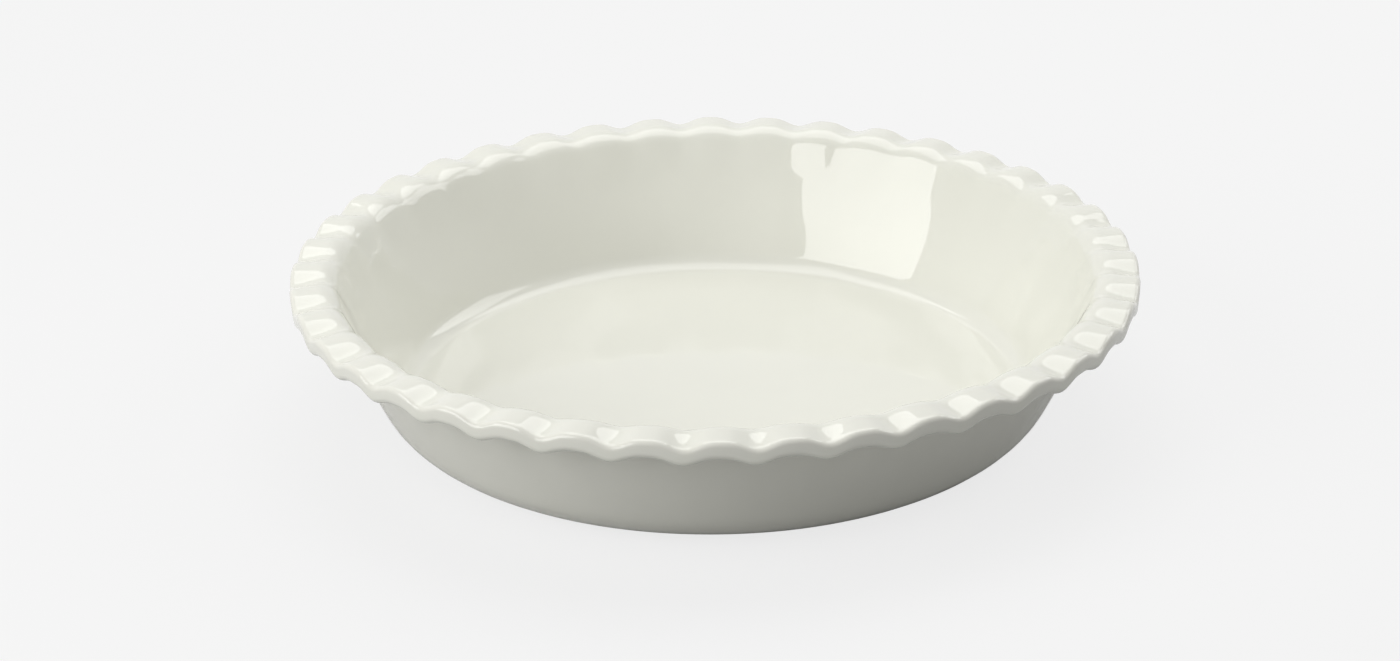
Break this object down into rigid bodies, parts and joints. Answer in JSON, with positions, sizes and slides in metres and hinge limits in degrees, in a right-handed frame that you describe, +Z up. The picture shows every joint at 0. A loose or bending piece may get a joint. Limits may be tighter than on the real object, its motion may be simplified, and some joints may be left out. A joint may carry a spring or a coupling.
{
  "type": "pie dish",
  "caption": "Round glazed stoneware pie dish with sloping walls, a fluted flat rim and a bare foot ring.",
  "frame": {"origin": "centre of the foot ring's flat face, on the table", "axes": "+Z up along the dish's axis of revolution, +X through a crest of the fluted rim"},
  "size_m": [0.265, 0.265, 0.0499],
  "materials": {
    "stoneware": "matt fired clay, bare on the foot ring",
    "glaze": "glossy ivory glaze"
  },
  "bodies": {
    "root": {"stoneware_body": "stoneware", "glaze_coat": "glaze", "underside_glaze": "glaze"}
  },
  "joints": []
}
